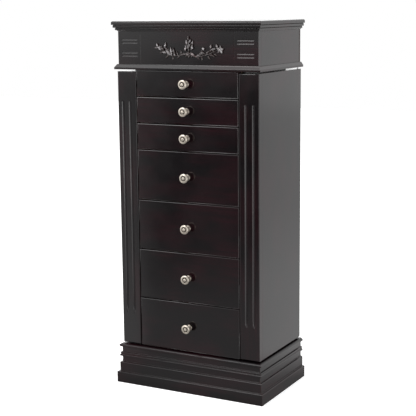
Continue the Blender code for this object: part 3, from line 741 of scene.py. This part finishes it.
def make_lid():
    """The moulded lid board, its mirror and frame, and the hinge."""
    board = moulded_board(filleted(LID_OUTLINE))
    top = finish_piece("lid_top", board, LOOKS["wood_x"], "lid")
    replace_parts(even_shading(top), "lid_board")
    dress("mirror_frame", LOOKS["wood_x"], 1.2, 4)
    dress("lid_mirror", LOOKS["mirror"], 0.5)
    for leaf, body in (("lid_hinge_fixed", "case"), ("lid_hinge_moving", "lid")):
        dress(leaf, LOOKS["brass"], 0.25)
        make_screws(leaf, body)


def make_screws(leaf, body):
    """Countersunk screw heads along a hinge leaf."""
    x, depth, z = span(leaf)
    upper = leaf.endswith("moving")
    height = z[1] - SCREW_FROM_EDGE if upper else z[0] + SCREW_FROM_EDGE
    for i, at in enumerate(spread(x[0] + SCREW_FROM_END, x[1] - SCREW_FROM_END, SCREW_COUNT)):
        centre = spot(at, depth[0] + 1.2, height)
        outline = [(0, 0.4), (2.6, 0.4), (2.7, 0.1), (2.4, -0.35), (1.2, -0.55), (0, -0.6)]
        head = turned(outline, centre, 24)
        finish_piece(f"{leaf}_screw_{i + 1}", head, LOOKS["steel"], body)


# ---------------------------------------------------------------- linings


def make_lining(body):
    """A velvet-covered pad that lies in the bottom of a drawer."""
    x, depth, z = span(f"{body}_box")
    inset = DRAWER_WALL + 0.8
    a = (x[0] + inset, x[1] - inset)
    b = (depth[0] + inset, depth[1] - inset)
    low = z[0] + DRAWER_FLOOR + 0.3
    bm = bmesh.new()
    columns, rows = spread(*a, 31), spread(*b, 23)
    top, bottom = [], []
    phase = random.Random(body).uniform(0, 6.28)
    for depth_at in rows:
        line_top, line_bottom = [], []
        for x_at in columns:
            from_edge = min(x_at - a[0], a[1] - x_at, depth_at - b[0], b[1] - depth_at)
            crown = 1 - math.exp(-from_edge / 5.0)
            ripple = 0.35 * math.sin(x_at / 23 + phase) * math.sin(depth_at / 17 + 2 * phase)
            swell = (LINING_THICK - LINING_EDGE + ripple) * crown
            line_top.append(bm.verts.new(spot(x_at, depth_at, low + LINING_EDGE + swell)))
            line_bottom.append(bm.verts.new(spot(x_at, depth_at, low)))
        top.append(line_top)
        bottom.append(line_bottom)
    fill_grid(bm, top)
    fill_grid(bm, bottom)
    skin(bm, rim_of(top), rim_of(bottom))
    pad = finish_piece(f"{body}_lining", bm, LOOKS["velvet"], body, 60)
    ease(pad, 0.6, 2)


def pocket_lines(ends, count):
    """Where the walls of a row of equal pockets begin and end, between the tray's own two ends."""
    wide = (ends[1] - ends[0] - TRAY_WALL * (count + 1)) / count
    inner = [ends[0] + TRAY_WALL * (i + 1) + wide * (i + k) for i in range(count) for k in (0, 1)]
    return [ends[0], *inner, ends[1]]


def make_tray():
    """The velvet-covered tray of six pockets, with rounded rims."""
    x, depth, z = span("compartment_tray")
    across = pocket_lines(x, TRAY_COLUMNS)
    back = pocket_lines(depth, TRAY_ROWS)
    bm = bmesh.new()
    top = [[bm.verts.new(spot(a, b, z[1])) for a in across] for b in back]
    base = [[bm.verts.new(spot(a, b, z[0])) for a in across] for b in back]
    fill_grid(bm, base)
    for j in range(len(back) - 1):
        for i in range(len(across) - 1):
            quad = [top[j][i], top[j][i + 1], top[j + 1][i + 1], top[j + 1][i]]
            if i % 2 == 0 or j % 2 == 0:
                bm.faces.new(quad)
                continue
            sunk = [bm.verts.new(Vector((v.co.x, v.co.y, (z[0] + TRAY_FLOOR) * MM))) for v in quad]
            skin(bm, quad, sunk)
            bm.faces.new(sunk)
    skin(bm, rim_of(top), rim_of(base))
    bmesh.ops.dissolve_limit(bm, angle_limit=math.radians(1), verts=bm.verts, edges=bm.edges)
    tray = finish_piece("lined_tray", bm, LOOKS["velvet"], "case", 60)
    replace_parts(ease(tray, 1.7, 4), "compartment_tray")


def evaluated_mesh(piece):
    """A piece's mesh as its modifiers leave it."""
    graph = bpy.context.evaluated_depsgraph_get()
    return bpy.data.meshes.new_from_object(piece.evaluated_get(graph))


def swollen(name, x, depth, z, pressure, cap):
    """A closed fabric cover blown up from a box by cloth simulation, kept near its start."""
    bm = box_mesh(x, depth, z)
    bmesh.ops.bevel(bm, geom=list(bm.edges), offset=5.0 * MM, segments=3, affect="EDGES")
    mesh = bpy.data.meshes.new(name)
    bm.to_mesh(mesh)
    bm.free()
    cover = bpy.data.objects.new(name, mesh)
    bpy.context.scene.collection.objects.link(cover)
    fine = cover.modifiers.new("even mesh", "REMESH")
    fine.mode = "VOXEL"
    fine.voxel_size = 4.0 * MM
    start = evaluated_mesh(cover)
    cover.modifiers.clear()
    cover.data = start
    rest = [v.co.copy() for v in start.vertices]
    cloth = cover.modifiers.new("stuffing", "CLOTH")
    cloth.settings.use_pressure = True
    cloth.settings.uniform_pressure_force = pressure
    cloth.settings.effector_weights.gravity = 0.0
    for tick in range(1, 21):
        bpy.context.scene.frame_set(tick)
    blown = evaluated_mesh(cover)
    cover.modifiers.clear()
    cover.data = blown
    for vert, home in zip(blown.vertices, rest):
        moved = vert.co - home
        if moved.length > cap * MM:
            vert.co = home + moved.normalized() * cap * MM
    bpy.context.scene.frame_set(1)
    return cover


def make_ring_rolls():
    """Seven stuffed velvet rolls side by side, which hold rings in the gaps between them."""
    x, depth, z = span("ring_rolls")
    pitch = (depth[1] - depth[0]) / RING_ROLL_COUNT
    swell = 1.6
    wide = (x[0] + swell, x[1] - swell)
    first = (depth[0] + swell, depth[0] + pitch - swell)
    high = (z[0] + swell, z[1] - swell - 0.4)
    roll = swollen("ring_roll_cover", wide, first, high, 3.0, swell)
    smooth = roll.modifiers.new("soft surface", "SUBSURF")
    smooth.levels = smooth.render_levels = 1
    shape = evaluated_mesh(roll)
    bpy.data.objects.remove(roll, do_unlink=True)
    for i in range(RING_ROLL_COUNT):
        bm = bmesh.new()
        bm.from_mesh(shape)
        bmesh.ops.translate(bm, verts=bm.verts, vec=(0, i * pitch * MM, 0))
        piece = finish_piece(f"ring_roll_{i + 1}", bm, LOOKS["velvet"], "case", 80)
        if i == 0:
            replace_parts(piece, "ring_rolls")


# ---------------------------------------------------------------- carving


class Carving:
    """Gathers domed leaves, petals and stems on the frieze, which make_ornament then casts into one solid.
    """

    def __init__(self, face_depth):
        self.bm = bmesh.new()
        self.face = face_depth

    def point(self, x, z, out):
        """A point that stands a distance out from the frieze panel's face."""
        return self.bm.verts.new(spot(x, self.face - out, z))

    def shell(self, rows, start, end):
        """Closes rows of points, each an arch from one side of a leaf to the other."""
        skin(self.bm, *rows)
        for row, tip in ((rows[0], start), (rows[-1], end)):
            for i in range(len(row)):
                self.bm.faces.new((row[i], row[(i + 1) % len(row)], tip))

    def leaf(self, x, z, degrees, length, width, rise, bend=0.0, lift=0.0):
        """A leaf with a raised midrib, which bends to one side."""
        steps, arch = 14, 10
        rows = []
        heading = math.radians(degrees)
        px, pz = x, z
        ends = [self.point(px, pz, lift)]
        for i in range(1, steps):
            share = i / steps
            way = heading + math.radians(bend) * share
            px += math.cos(way) * length / steps
            pz += math.sin(way) * length / steps
            swell = math.sin(math.pi * share**0.75) ** 0.85
            row = []
            for k in range(arch + 1):
                turn = math.pi * k / arch
                across = math.cos(turn) * width / 2 * swell
                ridge = 0.28 * math.exp(-((math.cos(turn) / 0.22) ** 2))
                dome = math.sin(turn) ** 0.8 * 0.8 + ridge
                out = max(dome * rise * (0.35 + 0.65 * swell) + lift * share, 0.0)
                row.append(self.point(px - across * math.sin(way), pz + across * math.cos(way), out))
            rows.append(row)
        way = heading + math.radians(bend)
        px += math.cos(way) * length / steps
        pz += math.sin(way) * length / steps
        ends.append(self.point(px, pz, lift))
        self.shell(rows, *ends)

    def bead(self, x, z, radius, out):
        """A round bud."""
        rings, turns = 7, 14
        rows = []
        for i in range(1, rings):
            pitch = math.pi * i / rings
            r = radius * math.sin(pitch)
            height = out - radius * 0.2 + radius * math.cos(pitch)
            angles = [2 * math.pi * k / turns for k in range(turns)]
            rows.append([self.point(x + r * math.cos(t), z + r * math.sin(t), height) for t in angles])
        top = self.point(x, z, out + radius * 0.8)
        bottom = self.point(x, z, out - radius * 1.2)
        self.shell(rows, top, bottom)

    def flower(self, x, z, size, petals, rise, turn=0.0):
        """Cupped petals round a bead."""
        for i in range(petals):
            angle = turn + 360.0 * i / petals
            self.leaf(x, z, angle, size, size * 2.4 / petals + size * 0.24, rise, lift=rise * 0.25)
        self.bead(x, z, size * 0.27, rise * 1.05)

    def stem(self, points, thick, rise):
        """A tapering stem on a smooth curve through its points."""
        curve = [Vector(p) for p in points]
        route = []
        for i in range(len(curve) - 1):
            a, b = curve[max(i - 1, 0)], curve[i]
            c, d = curve[i + 1], curve[min(i + 2, len(curve) - 1)]
            for k in range(8):
                t = k / 8
                straight, bowed, twisted = c - a, 2 * a - 5 * b + 4 * c - d, 3 * b - a - 3 * c + d
                route.append(0.5 * (2 * b + straight * t + bowed * t**2 + twisted * t**3))
        route.append(curve[-1])
        rows = []
        for i in range(1, len(route) - 1):
            share = i / len(route)
            run = (route[i + 1] - route[i - 1]).normalized()
            radius = thick / 2 * (1 - 0.45 * share)
            row = []
            for k in range(9):
                turn = math.pi * k / 8
                across, out = math.cos(turn) * radius, math.sin(turn) * rise * (1 - 0.3 * share)
                row.append(self.point(route[i].x - run.y * across, route[i].y + run.x * across, out))
            rows.append(row)
        self.shell(rows, self.point(*route[0], 0.0), self.point(*route[-1], 0.0))


# Leaves of the carving: foot (x, z) from its centre, heading, length, width, rise and bend
LEFT_LEAVES = (
    (-54, -8, 122, 34, 9.5, 7.0, 10), (-60, -8, 108, 22, 6.0, 6.0, -34), (-52, -9, 88, 27, 7.0, 7.0, 14),
    (-40, -8, 116, 25, 6.5, 7.0, -20), (-66, 0, 172, 17, 7.5, 6.6, -14), (-74, 8, 146, 16, 7.0, 5.4, 22),
    (-70, 16, 84, 13, 6.0, 5.8, 10), (-94, 15, 96, 12, 6.5, 6.2, 12), (-92, 13, 176, 15, 5.0, 4.8, -6),
    (-25, -4, 70, 13, 5.5, 3.6, 22), (-33, -5, 118, 12, 5.0, 3.6, -20), (-29, -6, -118, 11, 5.5, 3.2, -18),
    (-48, -9, -98, 10, 5.5, 3.2, 14), (-62, -5, -138, 13, 5.5, 3.4, 16), (-78, 4, -150, 12, 5.5, 3.4, -14),
    (-86, 9, 70, 14, 5.5, 3.8, 10), (-10, 0, 204, 14, 6.0, 4.0, -20), (-80, 5, 100, 12, 5.5, 4.0, 18),
)
RIGHT_LEAVES = (
    (5, 3, -44, 25, 7.5, 8.0, 22), (18, -8, 4, 20, 5.0, 5.0, 14), (22, -6, 20, 16, 5.0, 4.0, 10),
    (34, -6, 76, 14, 6.0, 3.8, -20), (40, -5, 96, 15, 6.5, 4.2, -12), (50, -3, 50, 15, 7.0, 4.2, -20),
    (47, -3, 124, 12, 6.0, 3.8, 16), (66, 12, 88, 13, 5.5, 6.6, -10), (66, 10, 14, 18, 6.0, 6.6, -16),
    (60, -2, -12, 19, 7.0, 7.0, -14), (58, 3, 30, 18, 6.5, 4.4, 16), (86, 14, 104, 12, 6.0, 6.6, 12),
    (24, -9, -48, 12, 5.5, 3.2, 18), (38, -9, -76, 11, 5.5, 3.2, -14), (56, -6, -56, 14, 6.0, 3.6, 16),
    (74, 0, -34, 13, 5.5, 3.6, 14), (30, -5, 50, 12, 5.5, 3.4, 16), (70, 4, 60, 13, 6.0, 4.0, -14),
)
PLUME_LEAVES = (
    (0, 2, 90, 40, 4.5, 4.6, 0), (-5, 19, 96, 19, 5.5, 7.0, -16), (0, 32, 88, 14, 5.5, 6.8, 10),
    (3, 27, 66, 12, 5.5, 6.8, 14), (8, 22, 52, 13, 6.0, 6.2, 22), (6, 14, 44, 15, 5.5, 6.0, 26),
    (-5, 12, 124, 12, 5.0, 6.0, -24), (8, 8, 60, 13, 5.0, 6.4, 24), (-3, 24, 122, 9, 4.5, 5.4, -14),
    (3, 16, 78, 11, 5.0, 5.8, -12), (-8, 6, 116, 11, 5.5, 6.6, -20), (-2, 10, 84, 12, 4.5, 5.6, 14),
    (0, -2, -90, 11, 6.0, 4.2, 0), (-4, -1, -126, 12, 5.5, 3.8, 14), (4, -1, -54, 12, 5.5, 3.8, -14),
)


def make_ornament():
    """An upright plume between two leafy swags, each with a bloom at its end."""
    carving = Carving(span("frieze_panel")[1][0] - 0.1)
    low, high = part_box("frieze_ornament")
    centre = (low.x + high.x) / 2 / MM
    foot = CARVING_FOOT
    stems = (
        [(-2, 0), (-16, -4), (-32, -6), (-50, -7), (-64, -1), (-78, 7), (-92, 14)],
        [(3, 2), (16, -8), (30, -9), (44, -6), (58, -2), (74, 4), (92, 10)],
    )
    for stem in stems:
        carving.stem([(centre + x, foot + z) for x, z in stem], 3.8, 3.8)
    for x, z, degrees, length, width, rise, bend in (*LEFT_LEAVES, *RIGHT_LEAVES, *PLUME_LEAVES):
        carving.leaf(centre + x, foot + z, degrees, length, width, rise, bend=bend, lift=rise * 0.2)
    flowers = (
        (-88, 13, 8.0, 5, 6.4), (94, 10, 11.5, 5, 6.6), (44, 12, 5.5, 5, 5.8), (-1, -2, 7.5, 6, 5.4),
    )
    for x, z, size, petals, rise in flowers:
        carving.flower(centre + x, foot + z, size, petals, rise, turn=14)
    buds = ((-9, 12, 2.6, 5.6), (13, 14, 2.2, 5.0), (-1, -2, 3.0, 7.2), (-71, 19, 2.2, 4.8))
    for x, z, radius, out in buds:
        carving.bead(centre + x, foot + z, radius, out)

    piece = finish_piece("carved_ornament", carving.bm, LOOKS["carving"], "case", 70)
    cast = piece.modifiers.new("cast in one", "REMESH")
    cast.mode = "VOXEL"
    cast.voxel_size = 0.00055
    cast.use_smooth_shade = True
    polish = piece.modifiers.new("softened", "SMOOTH")
    polish.factor = 0.5
    polish.iterations = 2
    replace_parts(piece, "frieze_ornament")


# ---------------------------------------------------------------- studio


def aimed(location, target):
    """A rotation that points an object's -Z axis from one place to another."""
    return (Vector(target) - Vector(location)).to_track_quat("-Z", "Y").to_euler()


def make_camera():
    """The camera stands ahead and to the right of the armoire, and looks down a little."""
    yaw, pitch, roll = (math.radians(angle) for angle in (28.23, -10.24, 0.57))
    turn = Matrix.Rotation(yaw, 3, "Z") @ Matrix.Rotation(pitch, 3, "X") @ Matrix.Rotation(roll, 3, "Y")
    axes = Matrix((turn.col[0], turn.col[2], -turn.col[1])).transposed()
    data = bpy.data.cameras.new("camera")
    data.lens = 97.07
    data.sensor_width = 36.0
    data.shift_x = -0.0012
    data.shift_y = 0.0012
    camera = bpy.data.objects.new("camera", data)
    camera.matrix_world = Matrix.Translation((1.4567, -2.7193, 1.0543)) @ axes.to_4x4()
    bpy.context.scene.collection.objects.link(camera)
    bpy.context.scene.camera = camera


def softbox(name, location, target, width, height, power):
    """A soft rectangular light that looks at a target."""
    data = bpy.data.lights.new(name, "AREA")
    data.shape = "RECTANGLE"
    data.size, data.size_y, data.energy = width, height, power
    light = bpy.data.objects.new(name, data)
    light.location = location
    light.rotation_euler = aimed(location, target)
    bpy.context.scene.collection.objects.link(light)


def make_world():
    """Plain white to the camera. To every other ray it is lit in lobes, and dark below the horizon."""
    world = bpy.data.worlds.new("studio")
    world.use_nodes = True
    tree = world.node_tree
    direction = add_node(tree, "ShaderNodeTexCoord").outputs["Generated"]
    upward = add_node(tree, "ShaderNodeSeparateXYZ", {"Vector": direction}).outputs["Z"]
    light = remap(tree, upward, -0.056, -0.026, 0.05, 0.82)
    # Each lobe: the way it lies, its outer and inner half-angles, how bright it is, how it joins
    lobes = (
        ((-1.0, 0.0, 0.0), 61, 55, 0.8, "ADD"), ((0.45, 0.89, -0.03), 60, 32, 1.05, "MAXIMUM"),
        ((0.86, -0.50, 0.0), 40, 15, 1.0, "MAXIMUM"), ((-0.50, 0.86, 0.02), 26, 16, 0.6, "ADD"),
    )
    for lobe, outer, inner, strength, way in lobes:
        dot = add_node(tree, "ShaderNodeVectorMath", {0: direction, 1: lobe}, operation="DOT_PRODUCT")
        low, high = math.cos(math.radians(outer)), math.cos(math.radians(inner))
        part = remap(tree, dot.outputs["Value"], low, high, 0.0, strength)
        light = math_node(tree, way, light, part)
    seen = add_node(tree, "ShaderNodeLightPath").outputs["Is Camera Ray"]
    shade = mix_colour(tree, seen, light, (1.0, 1.0, 1.0))
    tree.links.new(shade, tree.nodes["Background"].inputs["Color"])
    bpy.context.scene.world = world


def light_thrown_back(tree):
    """The floor's pattern of light, laid out for what the fronts and the side mirror to the camera."""
    coords = object_coords(tree, WHOLE)
    away = length_of(tree, coords)
    parts = add_node(tree, "ShaderNodeSeparateXYZ", {"Vector": coords}).outputs
    aside = math_node(tree, "SUBTRACT", parts["X"], FAN_X)
    ahead_of = math_node(tree, "SUBTRACT", parts["Y"], FAN_Y)
    bearing = math_node(tree, "DIVIDE", aside, ahead_of)

    def faded(*steps):
        """The product of ramps, each of (value, low, high, level at low, level at high)."""
        ramps = [remap(tree, *step) for step in steps]
        product = ramps[0]
        for ramp in ramps[1:]:
            product = multiply(tree, product, ramp)
        return product

    thrown = faded((away, 0.9, 2.5, 0.50, 0.03), (parts["Y"], -0.22, -0.12, 0.95, 0.62))
    in_front = faded((parts["Y"], -0.20, -0.10, 1.0, 0.0))
    ahead = faded(
        (bearing, 0.500, 0.509, 0.0, 1.0), (bearing, 0.54, 0.60, 0.24, 0.10), (away, 2.4, 6.0, 1.0, 0.3),
    )
    left = faded((bearing, 0.620, 0.632, 0.0, 0.90), (away, 0.35, 0.6, 0.0, 1.0))
    near = faded((away, 0.27, 0.50, 0.30, 0.97), (away, 1.2, 3.0, 1.0, 0.86))
    behind = multiply(tree, faded((parts["Y"], -0.40, -0.05, 0.0, 1.0)), near)
    right = faded((parts["X"], 0.45, 0.90, 0.0, 1.6))
    for part in (*(multiply(tree, part, in_front) for part in (ahead, left, right)), behind):
        thrown = math_node(tree, "MAXIMUM", thrown, part)
    return thrown


def make_floor():
    """Plain pale to the camera. To every other ray it is a pattern of light, and not a plain floor."""
    look, tree, shader = new_look("studio floor")
    tree.nodes.remove(shader)
    thrown = light_thrown_back(tree)
    white = (1.0, 1.0, 1.0, 1.0)
    glow = add_node(tree, "ShaderNodeEmission", {"Color": white, "Strength": thrown}).outputs[0]
    pale = add_node(tree, "ShaderNodeBsdfDiffuse", {"Color": (0.93, 0.93, 0.93, 1.0)}).outputs[0]
    lift = add_node(tree, "ShaderNodeEmission", {"Color": white, "Strength": 0.5}).outputs[0]
    lit = add_node(tree, "ShaderNodeAddShader", {0: pale, 1: lift}).outputs[0]
    seen = add_node(tree, "ShaderNodeLightPath").outputs["Is Camera Ray"]
    chosen = add_node(tree, "ShaderNodeMixShader", {0: seen, 1: glow, 2: lit}).outputs[0]
    tree.links.new(chosen, tree.nodes["Material Output"].inputs["Surface"])
    bm = bmesh.new()
    bmesh.ops.create_grid(bm, x_segments=8, y_segments=8, size=8.0)
    mesh = bpy.data.meshes.new("floor")
    bm.to_mesh(mesh)
    bm.free()
    mesh.materials.append(look)
    floor = bpy.data.objects.new("floor", mesh)
    floor.location.z = -0.0005
    bpy.context.scene.collection.objects.link(floor)


def make_studio():
    """The world, the floor and three softboxes. The key is what the mouldings and edges mirror."""
    make_world()
    make_floor()
    softbox("key", (-2.45, -4.60, 3.90), (0.0, 0.0, 0.5), 1.2, 5.0, 125)
    softbox("top_wash", (-0.60, -1.0, 2.95), (-0.60, -1.0, 0.0), 2.2, 1.6, 15)
    softbox("right_front", (2.6, -1.6, 0.80), (0.0, 0.0, 0.80), 1.0, 1.6, 17)
    bpy.context.scene.view_settings.view_transform = "Standard"


make_camera()
make_studio()
make_base()
make_case()
make_frieze()
make_doors()
make_drawers()
make_lid()
make_tray()
make_ring_rolls()
make_ornament()
